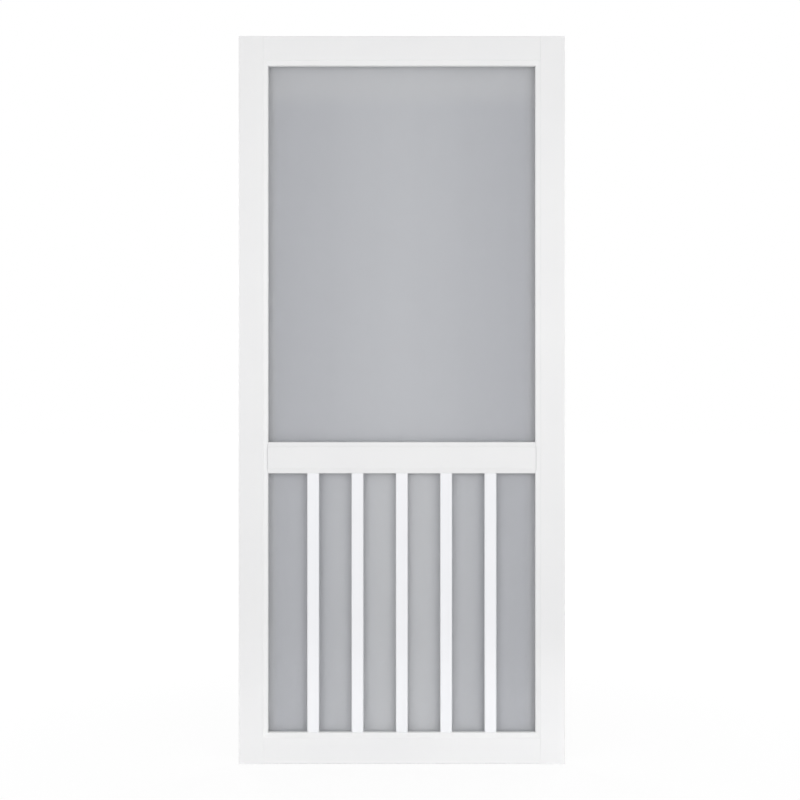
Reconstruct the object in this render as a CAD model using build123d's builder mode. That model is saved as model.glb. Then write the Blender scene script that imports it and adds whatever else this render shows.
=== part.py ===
from build123d import *
import os

# Screen door leaf in rigid white vinyl, in millimetres. X runs across the leaf from the hinge
# edge, Y from the outside face (-) to the inside face (+) and Z up. The origin is at the foot of
# the hinge edge, in the middle of its thickness.

# Leaf
leaf_width = 908.05
leaf_height = 2025.65
leaf_thickness = 27.0

# Frame members: a hollow box, with a lip along each edge that faces an opening
stile_box = 68.8
top_rail_box = 68.8
mid_rail_box = 62.2
bottom_rail_box = 73.5
mid_rail_height = 851.9
wall = 2.5
web = 1.8
edge_radius = 3.0
seam_radius = 1.2

# Lip: its front is bevelled, and its back is the ledge that the screen lies on
lip_width = 12.5
lip_step = 1.2
bevel_depth = 5.0
lip_radius = 3.0
ledge_depth = 16.0

# Groove in the ledge, and the spline pressed into it
groove_margin = 4.0
groove_width = 4.0
groove_depth = 6.5
spline_proud = 1.5
spline_radius = 1.0

# Screen cloth: a coarse grid that is about as open as the real mesh of 18 by 16 yarns to the inch
screen_thickness = 0.5
screen_columns = 12
upper_screen_rows = 17
lower_screen_rows = 12
strand_width = 12.5

# Upright bars in front of the lower screen
bar_count = 5
bar_pitch = 123.7
bar_width = 33.3
bar_thickness = 8.6
bar_wall = 1.5
bar_radius = 4.0
bar_screen_gap = 0.4

# Plugs in the open ends of the hollow boxes
plug_plate = 2.5
plug_depth = 14.0
plug_wall = 1.8
plug_fit = 0.2

# Places that follow from the sizes above
face_y = -leaf_thickness / 2
ledge_y = face_y + ledge_depth
stile_width = stile_box + lip_width
top_rail_width = top_rail_box + lip_width
bottom_rail_width = bottom_rail_box + lip_width
middle_x = leaf_width / 2
mid_rail_reach = mid_rail_box / 2 + lip_width
upper_opening = (mid_rail_height + mid_rail_reach, leaf_height - top_rail_width)
lower_opening = (bottom_rail_width, mid_rail_height - mid_rail_reach)

half_width_plane = Plane.YZ.offset(middle_x)
half_height_plane = Plane.XY.offset(leaf_height / 2)
upright = {"x_dir": (1, 0, 0), "z_dir": (0, 0, 1)}
leftward = {"x_dir": (0, 0, 1), "z_dir": (-1, 0, 0)}


def cells(box_width, inset=0.0):
    """The two hollow cells of a box, each made smaller all round by inset."""
    cell_width = (box_width - 2 * wall - web) / 2
    with BuildSketch() as sketch:
        with GridLocations(cell_width + web, 0, 2, 1):
            Rectangle(cell_width - 2 * inset, leaf_thickness - 2 * wall - 2 * inset)
    return sketch.sketch


def lip_section(box_width):
    """The lip on the far edge of a box that is centred on the sketch's origin."""
    root = box_width / 2 - wall / 2
    edge = box_width / 2 + lip_width
    with BuildSketch() as sketch:
        with BuildLine():
            Polyline(
                (root, face_y + lip_step),
                (box_width / 2, face_y + lip_step),
                (edge, face_y + bevel_depth),
                (edge, ledge_y),
                (root, ledge_y),
                close=True,
            )
        make_face()
        fillet(sketch.vertices().group_by(Axis.X)[-1].sort_by(Axis.Y)[0], lip_radius)
        with Locations((edge - groove_margin, ledge_y)):
            Rectangle(groove_width, groove_depth, align=(Align.MAX, Align.MAX), mode=Mode.SUBTRACT)
    return sketch.sketch


def member_section(box_width, both_edges=False):
    """A frame member's section, centred on its box, with the outside face towards -Y. Its far
    corners are tight, beside the lip, and its near ones round, unless both edges have a lip."""
    with BuildSketch() as sketch:
        Rectangle(box_width, leaf_thickness)
        near_radius = seam_radius if both_edges else edge_radius
        fillet(sketch.vertices().group_by(Axis.X)[0], near_radius)
        fillet(sketch.vertices().group_by(Axis.X)[-1], seam_radius)
        add(cells(box_width), mode=Mode.SUBTRACT)
        add(lip_section(box_width))
        if both_edges:
            mirror(about=Plane.YZ)
    return sketch.sketch


def make_hinge_stile():
    """A stile of the leaf's full height, with its lip mitred into the rails' lips."""
    with BuildPart() as stile:
        with BuildSketch(Plane((stile_box / 2, 0, 0), **upright)):
            add(member_section(stile_box))
        extrude(amount=leaf_height)
        with BuildSketch(Plane.XZ):
            for end, inward, rail_box in ((0, 1, bottom_rail_box), (leaf_height, -1, top_rail_box)):
                with BuildLine():
                    Polyline(
                        (stile_box, end),
                        (stile_box, end + inward * rail_box),
                        (stile_width, end + inward * (rail_box + lip_width)),
                        (stile_width, end),
                        close=True,
                    )
                make_face()
        extrude(amount=leaf_thickness, both=True, mode=Mode.SUBTRACT)
    return stile


def make_foot_rail(rail_box):
    """A rail along the foot, between the stiles' boxes, with its lip mitred into their lips."""
    with BuildPart() as rail:
        with BuildSketch(Plane((middle_x, 0, rail_box / 2), **leftward)):
            add(member_section(rail_box))
        extrude(amount=middle_x - stile_box)
        with BuildSketch(Plane.XZ):
            with BuildLine():
                Polyline(
                    (stile_box, rail_box),
                    (stile_box, rail_box + lip_width),
                    (stile_width, rail_box + lip_width),
                    close=True,
                )
            make_face()
        extrude(amount=leaf_thickness, both=True, mode=Mode.SUBTRACT)
        mirror(about=half_width_plane)
    return rail


def make_mid_rail():
    """The rail between the openings, lipped on both edges, that butts the stiles' lips."""
    with BuildPart() as rail:
        with BuildSketch(Plane((leaf_width - stile_width, 0, mid_rail_height), **leftward)):
            add(member_section(mid_rail_box, both_edges=True))
        extrude(amount=leaf_width - 2 * stile_width)
    return rail


def make_plugs(plane, box_width):
    """The pair of cup-shaped plugs that close a box's two cells, flush with its end."""
    with BuildPart() as plugs:
        with BuildSketch(plane):
            add(cells(box_width, plug_fit))
        extrude(amount=plug_depth)
        with BuildSketch(plane.offset(plug_plate)):
            add(cells(box_width, plug_fit + plug_wall))
        extrude(amount=plug_depth - plug_plate, mode=Mode.SUBTRACT)
    return plugs


def make_bar(x):
    """A hollow upright bar with rounded front edges, from the bottom rail to the mid rail."""
    back_y = ledge_y - bar_screen_gap
    with BuildPart() as bar:
        with BuildSketch(Plane((x, back_y - bar_thickness / 2, lower_opening[0]), **upright)) as outline:
            Rectangle(bar_width, bar_thickness)
            fillet(outline.vertices().group_by(Axis.Y)[0], bar_radius)
            offset(amount=-bar_wall, mode=Mode.SUBTRACT)
        extrude(amount=lower_opening[1] - lower_opening[0])
    return bar


def make_screen(opening, rows):
    """The cloth over an opening, out to the splines on all four sides, as an open grid."""
    width = leaf_width - 2 * (stile_width - groove_margin)
    height = opening[1] - opening[0] + 2 * groove_margin
    column_pitch = width / screen_columns
    row_pitch = height / rows
    with BuildPart() as screen:
        with BuildSketch(Plane((middle_x, ledge_y, sum(opening) / 2), x_dir=(1, 0, 0), z_dir=(0, 1, 0))):
            Rectangle(width, height)
            with GridLocations(column_pitch, row_pitch, screen_columns, rows):
                Rectangle(column_pitch - strand_width, row_pitch - strand_width, mode=Mode.SUBTRACT)
        extrude(amount=screen_thickness)
    return screen


def make_spline(plane, length):
    """A length of spline along a groove, from the groove's floor to just behind the ledge."""
    with BuildPart() as spline:
        with BuildSketch(plane) as section:
            with Locations((0, ledge_y - groove_depth)):
                Rectangle(groove_width, groove_depth + spline_proud, align=(Align.CENTER, Align.MIN))
            fillet(section.vertices().group_by(Axis.Y)[-1], spline_radius)
        extrude(amount=length)
    return spline


def make_splines(opening, on_mid_rail):
    """The four lengths of spline round an opening, keyed by side. One long side lies in the mid
    rail, whose groove ends at the stiles' lips, and the other runs into the stiles' grooves."""
    inner = groove_margin
    centre = groove_margin + groove_width / 2
    outer = groove_margin + groove_width
    ends = {"bottom": opening[0] - centre, "top": opening[1] + centre}
    splines = {}
    for side, z in ends.items():
        reach = 0 if side == on_mid_rail else outer
        start = Plane((leaf_width - stile_width + reach, 0, z), **leftward)
        splines[side] = make_spline(start, leaf_width - 2 * stile_width + 2 * reach)
    low = opening[0] - (outer if on_mid_rail == "bottom" else inner)
    high = opening[1] + (outer if on_mid_rail == "top" else inner)
    left = make_spline(Plane((stile_width - centre, 0, low), **upright), high - low)
    splines["left"] = left
    splines["right"] = mirrored(left, half_width_plane)
    return splines


def mirrored(source, plane):
    """The mirror image of a finished piece."""
    with BuildPart() as image:
        mirror(source.part, about=plane)
    return image


def make_leaf():
    """Every piece of the leaf, keyed by its name."""
    stile = make_hinge_stile()
    foot_plugs = make_plugs(Plane((stile_box / 2, 0, 0), **upright), stile_box)
    head_plugs = mirrored(foot_plugs, half_height_plane)
    rail_start = Plane((stile_width, 0, mid_rail_height), x_dir=(0, 0, 1), z_dir=(1, 0, 0))
    rail_plugs = make_plugs(rail_start, mid_rail_box)
    pieces = {
        "hinge_stile": stile,
        "latch_stile": mirrored(stile, half_width_plane),
        "bottom_rail": make_foot_rail(bottom_rail_box),
        "top_rail": mirrored(make_foot_rail(top_rail_box), half_height_plane),
        "mid_rail": make_mid_rail(),
        "hinge_stile_foot_plugs": foot_plugs,
        "hinge_stile_head_plugs": head_plugs,
        "latch_stile_foot_plugs": mirrored(foot_plugs, half_width_plane),
        "latch_stile_head_plugs": mirrored(head_plugs, half_width_plane),
        "mid_rail_hinge_side_plugs": rail_plugs,
        "mid_rail_latch_side_plugs": mirrored(rail_plugs, half_width_plane),
        "upper_screen": make_screen(upper_opening, upper_screen_rows),
        "lower_screen": make_screen(lower_opening, lower_screen_rows),
    }
    for name, opening, on_mid_rail in (
        ("upper_spline", upper_opening, "bottom"),
        ("lower_spline", lower_opening, "top"),
    ):
        for side, spline in make_splines(opening, on_mid_rail).items():
            pieces[f"{name}_{side}"] = spline
    for i in range(bar_count):
        x = middle_x + (i - (bar_count - 1) / 2) * bar_pitch
        pieces[f"bar_{i + 1}"] = make_bar(x)
    return pieces


os.makedirs("parts", exist_ok=True)
for name, piece in make_leaf().items():
    piece.part.label = name
    export_step(piece.part, f"parts/{name}.step")
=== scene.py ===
"""Looks of a screen door leaf in rigid white vinyl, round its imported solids.

The frame, bars, plugs and cords keep their solids and get their finishes. The two insect screens
are woven here thread by thread, at their true scale.
"""

from __future__ import annotations

import logging
import math
from collections.abc import Iterable
from dataclasses import dataclass
from enum import Enum

import bpy
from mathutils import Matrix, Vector

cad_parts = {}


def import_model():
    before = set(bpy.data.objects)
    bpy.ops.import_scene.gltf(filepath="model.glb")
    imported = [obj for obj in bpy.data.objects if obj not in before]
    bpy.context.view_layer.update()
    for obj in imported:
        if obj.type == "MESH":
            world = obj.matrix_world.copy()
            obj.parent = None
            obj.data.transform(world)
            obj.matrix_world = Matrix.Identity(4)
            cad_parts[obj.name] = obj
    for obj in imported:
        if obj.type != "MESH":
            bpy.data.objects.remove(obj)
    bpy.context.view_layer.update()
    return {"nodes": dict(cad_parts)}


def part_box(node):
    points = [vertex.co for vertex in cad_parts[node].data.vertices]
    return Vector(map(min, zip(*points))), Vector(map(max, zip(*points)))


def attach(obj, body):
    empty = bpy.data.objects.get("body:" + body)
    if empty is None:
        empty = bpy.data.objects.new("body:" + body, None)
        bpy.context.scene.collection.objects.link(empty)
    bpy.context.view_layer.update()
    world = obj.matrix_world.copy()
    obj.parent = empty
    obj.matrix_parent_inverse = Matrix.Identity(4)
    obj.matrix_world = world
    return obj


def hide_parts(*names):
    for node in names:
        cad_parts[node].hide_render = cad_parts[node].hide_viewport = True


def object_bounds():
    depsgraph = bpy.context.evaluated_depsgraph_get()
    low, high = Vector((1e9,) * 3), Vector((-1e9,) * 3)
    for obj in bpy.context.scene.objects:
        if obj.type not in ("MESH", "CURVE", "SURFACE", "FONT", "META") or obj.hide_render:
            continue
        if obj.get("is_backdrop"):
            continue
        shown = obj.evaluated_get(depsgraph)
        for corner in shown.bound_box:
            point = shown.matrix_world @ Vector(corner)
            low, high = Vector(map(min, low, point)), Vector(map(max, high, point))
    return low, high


log = logging.getLogger("screen_door")

MM = 0.001
INCH = 25.4 * MM
BODY = "root"
PURE_WHITE = "#ffffff"


class Run(Enum):
    """The way along the leaf that a profile, a thread or a change of white runs."""

    ACROSS = "X"
    UP = "Z"


def linear(hex_colour: str) -> tuple[float, float, float, float]:
    """Turn an sRGB hex colour into linear RGBA.

    Args:
        hex_colour: A colour such as "#ebecee".

    Returns:
        The four linear channels, with an alpha of 1.
    """
    channels = [int(hex_colour[i : i + 2], 16) / 255 for i in (1, 3, 5)]
    turned = [c / 12.92 if c <= 0.04045 else ((c + 0.055) / 1.055) ** 2.4 for c in channels]
    return (*turned, 1.0)


def add_node(tree: bpy.types.NodeTree, kind: str, inputs: dict | None = None, **settings) -> bpy.types.Node:
    """Add a node with its settings and links.

    Args:
        tree: The node tree that takes the node.
        kind: Blender's name for the type of node.
        inputs: For each input, by name or number, a value or the output socket that feeds it.
        settings: The node's own settings.

    Returns:
        The new node.
    """
    node = tree.nodes.new(kind)
    for name, value in settings.items():
        setattr(node, name, value)
    for key, value in (inputs or {}).items():
        if isinstance(value, bpy.types.NodeSocket):
            tree.links.new(value, node.inputs[key])
        else:
            node.inputs[key].default_value = value
    return node


def new_material(name: str) -> bpy.types.Material:
    """Make an empty node material.

    Args:
        name: The material's name.

    Returns:
        The material, with no nodes yet.
    """
    material = bpy.data.materials.new(name)
    material.use_nodes = True
    material.node_tree.nodes.clear()
    return material


@dataclass(frozen=True)
class ExtrudedVinyl:
    """Rigid PVC pushed through a die: opaque, satin, with faint die lines along its length.

    Real die lines lie closer together. These are as coarse as they need to be to show.
    """

    name: str
    run: Run
    colour: str = "#efefef"
    shade: str = "#e9e9ea"
    # Share of white mixed into bevels and round edges: a painted highlight.
    painted_edge_highlight: float = 0.0
    edge_turn: tuple[float, float] = (0.995, 0.965)
    roughness: float = 0.3
    roughness_spread: float = 0.05
    ior: float = 1.53
    line_spacing: float = 1.6 * MM
    line_length: float = 640 * MM
    line_depth: float = 0.004 * MM
    blotch_size: float = 260 * MM

    def tint(self, tree: bpy.types.NodeTree) -> bpy.types.NodeSocket:
        """Mix the vinyl's colour.

        Args:
            tree: The material's node tree.

        Returns:
            A colour that drifts slowly, and is mixed towards white on bevels and round edges as a painted
            highlight.
        """
        spot = add_node(tree, "ShaderNodeTexCoord").outputs
        cloud = add_node(
            tree,
            "ShaderNodeTexNoise",
            {"Vector": spot["Object"], "Scale": 1 / self.blotch_size},
        )
        body = add_node(
            tree,
            "ShaderNodeMix",
            {"Factor": cloud.outputs["Fac"], "A": linear(self.colour), "B": linear(self.shade)},
            data_type="RGBA",
        )
        # Painted highlight: bevels and round edges, which turn away from the flat front and back, are mixed
        # towards white.
        facing = add_node(tree, "ShaderNodeSeparateXYZ", {"Vector": spot["Normal"]})
        flat = add_node(tree, "ShaderNodeMath", {0: facing.outputs["Y"]}, operation="ABSOLUTE")
        start, end = self.edge_turn
        painted_highlight_share = add_node(
            tree,
            "ShaderNodeMapRange",
            {"Value": flat.outputs[0], "From Min": start, "From Max": end, "To Max": self.painted_edge_highlight},
        )
        whole = add_node(
            tree,
            "ShaderNodeMix",
            {"Factor": painted_highlight_share.outputs["Result"], "A": body.outputs["Result"], "B": linear(PURE_WHITE)},
            data_type="RGBA",
        )
        return whole.outputs["Result"]

    def material(self) -> bpy.types.Material:
        """Build the finish.

        Returns:
            A material whose die lines follow the profile's run.
        """
        material = new_material(self.name)
        tree = material.node_tree
        place = add_node(tree, "ShaderNodeTexCoord").outputs["Object"]
        fine, long = 1 / self.line_spacing, 1 / self.line_length
        scale = (long, fine, fine) if self.run is Run.ACROSS else (fine, fine, long)
        drawn = add_node(tree, "ShaderNodeMapping", {"Vector": place, "Scale": scale})
        lines = add_node(
            tree,
            "ShaderNodeTexNoise",
            {"Vector": drawn.outputs["Vector"], "Scale": 1.0, "Detail": 3.0, "Roughness": 0.6},
        )
        shine = add_node(
            tree,
            "ShaderNodeMapRange",
            {
                "Value": lines.outputs["Fac"],
                "To Min": self.roughness - self.roughness_spread,
                "To Max": self.roughness + self.roughness_spread,
            },
        )
        bump = add_node(
            tree,
            "ShaderNodeBump",
            {"Height": lines.outputs["Fac"], "Distance": self.line_depth},
        )
        surface = add_node(
            tree,
            "ShaderNodeBsdfPrincipled",
            {
                "Base Color": self.tint(tree),
                "Roughness": shine.outputs["Result"],
                "IOR": self.ior,
                "Normal": bump.outputs["Normal"],
            },
        )
        add_node(tree, "ShaderNodeOutputMaterial", {"Surface": surface.outputs["BSDF"]})
        return material


@dataclass(frozen=True)
class MouldedVinyl:
    """Injection-moulded PVC: a matt face with the mould's fine spark-eroded grain."""

    name: str = "moulded_vinyl"
    colour: str = "#e9eaec"
    shade: str = "#dfe0e3"
    roughness: float = 0.52
    ior: float = 1.53
    grain: float = 0.6 * MM
    grain_depth: float = 0.012 * MM

    def material(self) -> bpy.types.Material:
        """Build the finish.

        Returns:
            A material with an even grain in every direction.
        """
        material = new_material(self.name)
        tree = material.node_tree
        place = add_node(tree, "ShaderNodeTexCoord").outputs["Object"]
        grain = add_node(
            tree,
            "ShaderNodeTexNoise",
            {"Vector": place, "Scale": 1 / self.grain, "Roughness": 0.55},
        )
        tint = add_node(
            tree,
            "ShaderNodeMix",
            {"Factor": grain.outputs["Fac"], "A": linear(self.colour), "B": linear(self.shade)},
            data_type="RGBA",
        )
        bump = add_node(
            tree,
            "ShaderNodeBump",
            {"Height": grain.outputs["Fac"], "Distance": self.grain_depth},
        )
        surface = add_node(
            tree,
            "ShaderNodeBsdfPrincipled",
            {
                "Base Color": tint.outputs["Result"],
                "Roughness": self.roughness,
                "IOR": self.ior,
                "Normal": bump.outputs["Normal"],
            },
        )
        add_node(tree, "ShaderNodeOutputMaterial", {"Surface": surface.outputs["BSDF"]})
        return material


@dataclass(frozen=True)
class CoatedYarn:
    """Glass-fibre yarn in a skin of grey vinyl: smooth, with streaks where the skin is thin."""

    name: str = "coated_yarn"
    colour: str = "#8b8e92"
    streak: str = "#a3a6aa"
    roughness: float = 0.5
    ior: float = 1.5
    streak_size: float = 9 * MM

    def material(self) -> bpy.types.Material:
        """Build the finish.

        Returns:
            A material with a slow change of grey along and across the cloth.
        """
        material = new_material(self.name)
        tree = material.node_tree
        place = add_node(tree, "ShaderNodeTexCoord").outputs["Object"]
        streaks = add_node(
            tree,
            "ShaderNodeTexNoise",
            {"Vector": place, "Scale": 1 / self.streak_size, "Detail": 3.0, "Roughness": 0.6},
        )
        tint = add_node(
            tree,
            "ShaderNodeMix",
            {"Factor": streaks.outputs["Fac"], "A": linear(self.colour), "B": linear(self.streak)},
            data_type="RGBA",
        )
        surface = add_node(
            tree,
            "ShaderNodeBsdfPrincipled",
            {"Base Color": tint.outputs["Result"], "Roughness": self.roughness, "IOR": self.ior},
        )
        add_node(tree, "ShaderNodeOutputMaterial", {"Surface": surface.outputs["BSDF"]})
        return material


@dataclass(frozen=True)
class SplineCord:
    """Soft PVC cord: dull dark grey, extruded with fine ribs that grip the groove."""

    name: str
    run: Run
    colour: str = "#6e7073"
    shade: str = "#606265"
    roughness: float = 0.6
    ior: float = 1.5
    rib_spacing: float = 1.5 * MM
    rib_depth: float = 0.15 * MM

    def material(self) -> bpy.types.Material:
        """Build the finish.

        Returns:
            A material with ribs across the cord, and painted shade in the dips between the ribs.
        """
        material = new_material(self.name)
        tree = material.node_tree
        place = add_node(tree, "ShaderNodeTexCoord").outputs["Object"]
        # A wave's bands repeat every 2 pi over 20 times its scale.
        ribs = add_node(
            tree,
            "ShaderNodeTexWave",
            {"Vector": place, "Scale": 2 * math.pi / 20 / self.rib_spacing},
            bands_direction=self.run.value,
        )
        # Painted shade: the cord is mixed towards its darker grey in the dips between its ribs, where the
        # bump is low.
        tint = add_node(
            tree,
            "ShaderNodeMix",
            {"Factor": ribs.outputs["Fac"], "A": linear(self.shade), "B": linear(self.colour)},
            data_type="RGBA",
        )
        bump = add_node(
            tree,
            "ShaderNodeBump",
            {"Height": ribs.outputs["Fac"], "Distance": self.rib_depth},
        )
        surface = add_node(
            tree,
            "ShaderNodeBsdfPrincipled",
            {
                "Base Color": tint.outputs["Result"],
                "Roughness": self.roughness,
                "IOR": self.ior,
                "Normal": bump.outputs["Normal"],
            },
        )
        add_node(tree, "ShaderNodeOutputMaterial", {"Surface": surface.outputs["BSDF"]})
        return material


def deselect_all() -> None:
    """Leave nothing selected, so that an operator acts on the new piece alone."""
    bpy.ops.object.select_all(action="DESELECT")


def dress(nodes: dict[str, bpy.types.Object], names: Iterable[str], material: bpy.types.Material) -> None:
    """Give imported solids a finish.

    Args:
        nodes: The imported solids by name.
        names: The solids that take the finish.
        material: The finish.
    """
    for name in names:
        for slot in nodes[name].material_slots:
            slot.material = material
        log.info("%s: %s", name, material.name)


@dataclass(frozen=True)
class Frame:
    """The two stiles and three rails, cut from hollow lipped profiles, and their plugs."""

    stiles: tuple[str, ...] = ("hinge_stile", "latch_stile")
    rails: tuple[str, ...] = ("top_rail", "mid_rail", "bottom_rail")
    plugs: tuple[str, ...] = (
        "hinge_stile_foot_plugs",
        "hinge_stile_head_plugs",
        "latch_stile_foot_plugs",
        "latch_stile_head_plugs",
        "mid_rail_hinge_side_plugs",
        "mid_rail_latch_side_plugs",
    )
    # The stiles' bevels and round edges get a painted highlight of this share of white.
    stile_painted_edge_highlight: float = 0.15

    def finish(self, nodes: dict[str, bpy.types.Object]) -> None:
        """Dress the frame.

        Args:
            nodes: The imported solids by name.
        """
        stile_vinyl = ExtrudedVinyl("stile_vinyl", Run.UP, painted_edge_highlight=self.stile_painted_edge_highlight)
        dress(nodes, self.stiles, stile_vinyl.material())
        dress(nodes, self.rails, ExtrudedVinyl("rail_vinyl", Run.ACROSS).material())
        dress(nodes, self.plugs, MouldedVinyl().material())


@dataclass(frozen=True)
class Bars:
    """The upright bars in front of the lower screen, in a slightly brighter and bluer vinyl."""

    count: int = 5
    colour: str = "#f5f5f8"
    shade: str = "#f0f1f4"

    def finish(self, nodes: dict[str, bpy.types.Object]) -> None:
        """Dress the bars.

        Args:
            nodes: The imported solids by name.
        """
        vinyl = ExtrudedVinyl("bar_vinyl", Run.UP, colour=self.colour, shade=self.shade)
        dress(nodes, [f"bar_{i + 1}" for i in range(self.count)], vinyl.material())


@dataclass(frozen=True)
class Splines:
    """The eight lengths of cord that hold the screens in their grooves."""

    screens: tuple[str, ...] = ("upper", "lower")

    def finish(self, nodes: dict[str, bpy.types.Object]) -> None:
        """Dress the cords, with ribs across each one's own run.

        Args:
            nodes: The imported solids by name.
        """
        across = SplineCord("spline_cord_across", Run.ACROSS).material()
        upright = SplineCord("spline_cord_upright", Run.UP).material()
        for screen in self.screens:
            dress(nodes, [f"{screen}_spline_{side}" for side in ("top", "bottom")], across)
            dress(nodes, [f"{screen}_spline_{side}" for side in ("left", "right")], upright)


@dataclass(frozen=True)
class InsectScreen:
    """A stretched cloth of glass-fibre yarn, 18 by 16 threads to the inch.

    Its threads are straight and lie in two layers that sink a little into each other, as the
    yarn's vinyl skins do where they are fused.
    """

    node: str
    held_by: list[str]
    warp_per_inch: int = 18
    weft_per_inch: int = 16
    yarn_radius: float = 0.14 * MM
    thread_sides: int = 6

    def thread(self, name: str, start: Vector, length: float, run: Run) -> bpy.types.Object:
        """Model one thread as an open tube, whose ends the spline holds.

        Args:
            name: The thread's name.
            start: The middle of its low or left end.
            length: Its length.
            run: The way it runs.

        Returns:
            The thread, with its place in its mesh.
        """
        middle = start + Vector((length / 2, 0, 0) if run is Run.ACROSS else (0, 0, length / 2))
        turn = (0, math.pi / 2, 0) if run is Run.ACROSS else (0, 0, 0)
        deselect_all()
        bpy.ops.mesh.primitive_cylinder_add(
            vertices=self.thread_sides,
            radius=self.yarn_radius,
            depth=length,
            end_fill_type="NOTHING",
            location=middle,
            rotation=turn,
        )
        thread = bpy.context.object
        thread.name = name
        bpy.ops.object.transform_apply(location=True, rotation=True, scale=True)
        bpy.ops.object.shade_smooth()
        return thread

    def lay(self, thread: bpy.types.Object, count: int, step: Vector) -> None:
        """Repeat a thread in an even row.

        Args:
            thread: The first thread.
            count: How many there are in all.
            step: The way from one to the next.
        """
        row = thread.modifiers.new("row", "ARRAY")
        row.count = count
        row.use_relative_offset = False
        row.use_constant_offset = True
        row.constant_offset_displace = step
        bpy.context.view_layer.objects.active = thread
        bpy.ops.object.modifier_apply(modifier=row.name)

    def weave(self) -> bpy.types.Object:
        """Make the cloth in the place of its packed sheet.

        Returns:
            The cloth, as one mesh of warp and weft.
        """
        low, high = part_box(self.node)
        width, height = high.x - low.x, high.z - low.z
        warp_count = int(width / (INCH / self.warp_per_inch))
        weft_count = int(height / (INCH / self.weft_per_inch))
        warp_step, weft_step = width / warp_count, height / weft_count
        front, back = low.y + self.yarn_radius, high.y - self.yarn_radius
        warp_start = Vector((low.x + warp_step / 2, front, low.z))
        warp = self.thread(f"{self.node}_cloth", warp_start, height, Run.UP)
        self.lay(warp, warp_count, Vector((warp_step, 0, 0)))
        weft_start = Vector((low.x, back, low.z + weft_step / 2))
        weft = self.thread(f"{self.node}_weft", weft_start, width, Run.ACROSS)
        self.lay(weft, weft_count, Vector((0, 0, weft_step)))
        deselect_all()
        weft.select_set(True)
        warp.select_set(True)
        bpy.context.view_layer.objects.active = warp
        bpy.ops.object.join()
        return warp

    def build(self, yarn: bpy.types.Material) -> None:
        """Weave the cloth, dress it and hang it on the leaf.

        Args:
            yarn: The yarn's finish.
        """
        cloth = self.weave()
        cloth.data.materials.append(yarn)
        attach(cloth, BODY)
        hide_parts(self.node)
        log.info("%s: %d faces", cloth.name, len(cloth.data.polygons))


@dataclass(frozen=True)
class SoftBox:
    """A lamp behind a white cloth, which lights without a hard shadow.

    Its place, size and aim are in metres, its power in watts and its spread in degrees.
    """

    name: str
    place: tuple[float, float, float]
    size: tuple[float, float]
    power: float
    aim_height: float = 1.01
    spread: float = 180.0

    def hang(self, centre: Vector) -> None:
        """Hang the lamp.

        Args:
            centre: The leaf's centre, which it faces at its own aim height.
        """
        data = bpy.data.lights.new(self.name, "AREA")
        data.shape = "RECTANGLE"
        data.size, data.size_y = self.size
        data.energy = self.power
        data.spread = math.radians(self.spread)
        lamp = bpy.data.objects.new(self.name, data)
        bpy.context.scene.collection.objects.link(lamp)
        lamp.location = self.place
        aim = Vector((centre.x, centre.y, self.aim_height))
        lamp.rotation_euler = (aim - lamp.location).to_track_quat("-Z", "Y").to_euler()
        lamp.visible_camera = False


@dataclass(frozen=True)
class Grade:
    """A painted change in the board's white, up its height or out to both its sides: painted shade where it
    darkens the white, painted light where it lifts it.

    Its start and end are shares of the board's height or width from the board's middle.
    """

    run: Run
    start: float
    end: float
    strength: float
    colour: str


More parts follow.
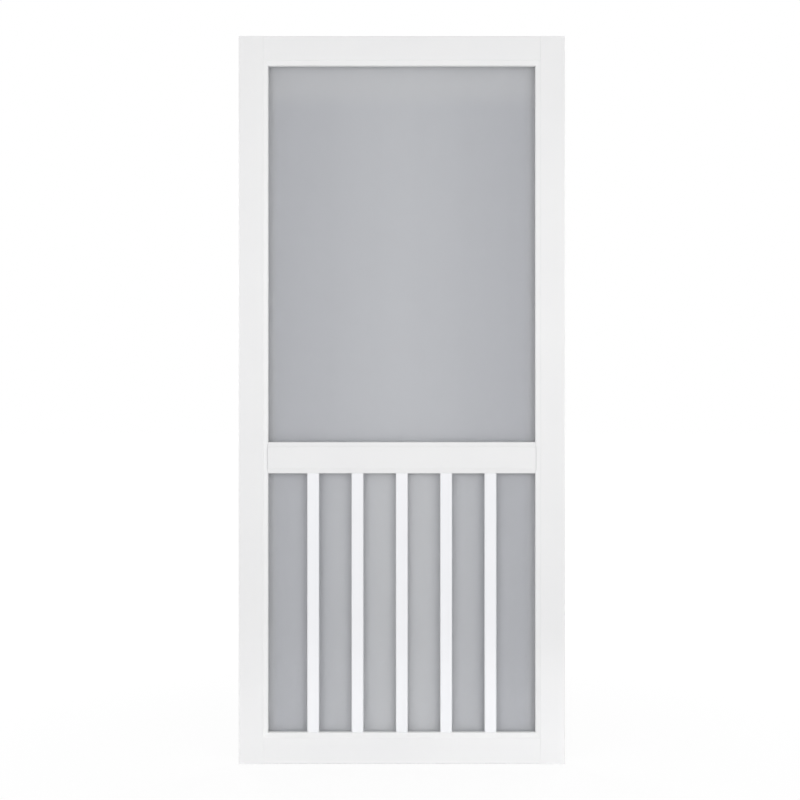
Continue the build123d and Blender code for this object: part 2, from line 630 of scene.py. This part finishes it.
@dataclass(frozen=True)
class Board:
    """A white board close behind the leaf, which is what shows through the screens.

    It shows in a mid grey, because light passes the cloth on its way in and again on its way out.
    """

    inset: float = 33 * MM
    gap: float = 3 * MM
    white: str = "#f0f1f5"
    # Painted light and shade: the first grade lifts the white behind the bars, the second darkens it
    # towards both sides as painted shade, the last two lift it near the sides and the top as painted light.
    painted_grades: tuple[Grade, ...] = (
        Grade(Run.UP, start=-0.06, end=-0.11, strength=0.4, colour=PURE_WHITE),
        Grade(Run.ACROSS, start=0.0, end=0.45, strength=1.0, colour="#e2e3e8"),
        Grade(Run.ACROSS, start=0.41, end=0.435, strength=0.4, colour=PURE_WHITE),
        Grade(Run.UP, start=0.41, end=0.45, strength=0.36, colour=PURE_WHITE),
    )

    def white_with_painted_light_and_shade(self, tree: bpy.types.NodeTree) -> bpy.types.NodeSocket:
        """Mix the board's white from its grades.

        Args:
            tree: The material's node tree.

        Returns:
            A white with painted shade that falls off towards both sides, and painted light that lifts it
            behind the bars and near the opening's top and sides.
        """
        place = add_node(tree, "ShaderNodeTexCoord").outputs["Object"]
        ways = add_node(tree, "ShaderNodeSeparateXYZ", {"Vector": place}).outputs
        aside = add_node(tree, "ShaderNodeMath", {0: ways["X"]}, operation="ABSOLUTE").outputs[0]
        white = linear(self.white)
        for grade in self.painted_grades:
            reach = add_node(
                tree,
                "ShaderNodeMapRange",
                {
                    "Value": aside if grade.run is Run.ACROSS else ways["Y"],
                    "From Min": grade.start,
                    "From Max": grade.end,
                    "To Max": grade.strength,
                },
                interpolation_type="SMOOTHSTEP",
            )
            graded = add_node(
                tree,
                "ShaderNodeMix",
                {"Factor": reach.outputs["Result"], "A": white, "B": linear(grade.colour)},
                data_type="RGBA",
            )
            white = graded.outputs["Result"]
        return white

    def opacity(self, tree: bpy.types.NodeTree) -> bpy.types.NodeSocket:
        """Work out which rays the board stops.

        Args:
            tree: The material's node tree.

        Returns:
            1 on its front, for the camera and for light that has bounced once, and otherwise 0.
        """
        path = add_node(tree, "ShaderNodeLightPath").outputs
        bounced = add_node(
            tree,
            "ShaderNodeMath",
            {0: path["Diffuse Depth"], 1: path["Is Diffuse Ray"]},
            operation="SUBTRACT",
            use_clamp=True,
        )
        solid = add_node(
            tree,
            "ShaderNodeMath",
            {0: path["Is Camera Ray"], 1: bounced.outputs[0]},
            operation="MAXIMUM",
        )
        side = add_node(tree, "ShaderNodeNewGeometry")
        shown = add_node(
            tree,
            "ShaderNodeMath",
            {0: solid.outputs[0], 1: side.outputs["Backfacing"]},
            operation="SUBTRACT",
            use_clamp=True,
        )
        return shown.outputs[0]

    def material(self) -> bpy.types.Material:
        """Build the board's finish.

        Returns:
            A matt white that is seen only from the front. It lets the lamps behind it light the
            leaf's back, and stops that light once it has bounced, so the back doesn't glow on it.
        """
        material = new_material("board_white")
        tree = material.node_tree
        clear = add_node(tree, "ShaderNodeBsdfTransparent")
        matt = add_node(tree, "ShaderNodeBsdfDiffuse", {"Color": self.white_with_painted_light_and_shade(tree)})
        both = add_node(
            tree,
            "ShaderNodeMixShader",
            {0: self.opacity(tree), 1: clear.outputs["BSDF"], 2: matt.outputs["BSDF"]},
        )
        add_node(tree, "ShaderNodeOutputMaterial", {"Surface": both.outputs["Shader"]})
        return material

    def build(self) -> None:
        """Stand the board up."""
        low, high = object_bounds()
        middle = (low + high) / 2
        deselect_all()
        bpy.ops.mesh.primitive_plane_add(
            size=1,
            location=(middle.x, high.y + self.gap, middle.z),
            rotation=(math.pi / 2, 0, 0),
        )
        board = bpy.context.object
        board.name = "white_board"
        board.scale = (high.x - low.x - 2 * self.inset, high.z - low.z - 2 * self.inset, 1)
        board.data.materials.append(self.material())
        board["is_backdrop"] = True


@dataclass(frozen=True)
class Floor:
    """A white floor that runs into the white room, and still takes the leaf's shadow.

    To the camera it glows, all of it far from the leaf and most of it close by.
    """

    size: float = 60.0
    drop: float = 0.5 * MM
    white: str = "#f8f8f8"
    matt_share: float = 0.14
    glow: float = 1.02
    fade: tuple[float, float] = (0.6, 2.4)

    def material(self) -> bpy.types.Material:
        """Build the floor's finish.

        Returns:
            A matt white that glows to the camera alone.
        """
        material = new_material("white_floor")
        tree = material.node_tree
        matt = add_node(tree, "ShaderNodeBsdfDiffuse", {"Color": linear(self.white)})
        glow = add_node(tree, "ShaderNodeEmission", {"Color": linear(PURE_WHITE), "Strength": self.glow})
        path = add_node(tree, "ShaderNodeLightPath")
        place = add_node(tree, "ShaderNodeTexCoord").outputs["Object"]
        reach = add_node(tree, "ShaderNodeVectorMath", {0: place}, operation="LENGTH")
        near, far = self.fade
        glowing = add_node(
            tree,
            "ShaderNodeMapRange",
            {
                "Value": reach.outputs["Value"],
                "From Min": near,
                "From Max": far,
                "To Min": 1 - self.matt_share,
            },
            interpolation_type="SMOOTHSTEP",
        )
        seen = add_node(
            tree,
            "ShaderNodeMath",
            {0: path.outputs["Is Camera Ray"], 1: glowing.outputs["Result"]},
            operation="MULTIPLY",
        )
        both = add_node(
            tree,
            "ShaderNodeMixShader",
            {0: seen.outputs[0], 1: matt.outputs["BSDF"], 2: glow.outputs["Emission"]},
        )
        add_node(tree, "ShaderNodeOutputMaterial", {"Surface": both.outputs["Shader"]})
        return material

    def build(self) -> None:
        """Lay the floor, just under the leaf's foot."""
        low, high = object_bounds()
        middle = (low + high) / 2
        deselect_all()
        bpy.ops.mesh.primitive_plane_add(size=self.size, location=(middle.x, middle.y, low.z - self.drop))
        floor = bpy.context.object
        floor.name = "floor"
        floor.data.materials.append(self.material())
        floor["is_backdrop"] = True


@dataclass(frozen=True)
class Studio:
    """A white room with soft lamps, and the camera.

    The camera's pixels are the photograph's: its width, the leaf's width in it and the place of
    the leaf's centre across it.
    """

    photo_pixels: int = 800
    leaf_pixels: float = 326.4
    leaf_centre_pixels: float = 401.8
    camera_distance: float = 3.2
    sensor: float = 36.0
    sky_light: float = 0.6
    soft_boxes: tuple[SoftBox, ...] = (
        SoftBox("right_soft_box", (3.2, -3.3, 1.3), size=(2.2, 2.2), power=40),
        SoftBox("left_soft_box", (-2.3, -3.3, 1.4), size=(2.2, 2.2), power=34),
        SoftBox("key_soft_box", (0.5, -1.9, 1.6), size=(0.9, 0.9), power=2),
        SoftBox("low_soft_box", (0.7, -0.9, 0.1), size=(1.5, 0.12), power=0.2, aim_height=0.03, spread=45),
        SoftBox("back_right_soft_box", (2.4, 2.8, 1.6), size=(1.6, 1.8), power=28),
        SoftBox("back_left_soft_box", (-1.5, 2.8, 1.6), size=(1.6, 1.8), power=28),
    )

    def camera(self) -> None:
        """Stand the camera straight in front of the leaf, as far off as the reveals show."""
        low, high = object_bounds()
        metres_per_pixel = (high.x - low.x) / self.leaf_pixels
        aside = (self.photo_pixels / 2 - self.leaf_centre_pixels) * metres_per_pixel
        view_width = self.photo_pixels * metres_per_pixel
        data = bpy.data.cameras.new("camera")
        data.sensor_width = self.sensor
        data.lens = self.sensor * self.camera_distance / view_width
        camera = bpy.data.objects.new("camera", data)
        bpy.context.scene.collection.objects.link(camera)
        centre = (low + high) / 2
        camera.location = (centre.x + aside, low.y - self.camera_distance, centre.z)
        camera.rotation_euler = (math.pi / 2, 0, 0)
        bpy.context.scene.camera = camera

    def sky(self) -> None:
        """Surround the leaf with white, which lights it more gently than it shows."""
        world = bpy.data.worlds.new("white_room")
        bpy.context.scene.world = world
        world.use_nodes = True
        tree = world.node_tree
        tree.nodes.clear()
        path = add_node(tree, "ShaderNodeLightPath").outputs
        seen = path["Is Camera Ray"]
        for ray in ("Is Glossy Ray", "Is Transmission Ray"):
            seen = add_node(tree, "ShaderNodeMath", {0: seen, 1: path[ray]}, operation="MAXIMUM").outputs[0]
        strength = add_node(tree, "ShaderNodeMapRange", {"Value": seen, "To Min": self.sky_light})
        light = add_node(
            tree,
            "ShaderNodeBackground",
            {"Color": linear(PURE_WHITE), "Strength": strength.outputs["Result"]},
        )
        add_node(tree, "ShaderNodeOutputWorld", {"Surface": light.outputs["Background"]})

    def build(self) -> None:
        """Set the whole room up."""
        bpy.context.scene.view_settings.view_transform = "Standard"
        self.camera()
        low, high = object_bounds()
        for soft_box in self.soft_boxes:
            soft_box.hang((low + high) / 2)
        self.sky()
        Floor().build()
        Board().build()
        log.info("studio: ready")


def main() -> None:
    """Dress the leaf and set up its studio."""
    logging.basicConfig(level=logging.INFO)
    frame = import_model()
    nodes = frame["nodes"]
    members = Frame()
    members.finish(nodes)
    Bars().finish(nodes)
    Splines().finish(nodes)
    yarn = CoatedYarn().material()
    InsectScreen("upper_screen", [*members.stiles, "top_rail", "mid_rail"]).build(yarn)
    InsectScreen("lower_screen", [*members.stiles, "mid_rail", "bottom_rail"]).build(yarn)
    Studio().build()


if __name__ == "__main__":
    main()
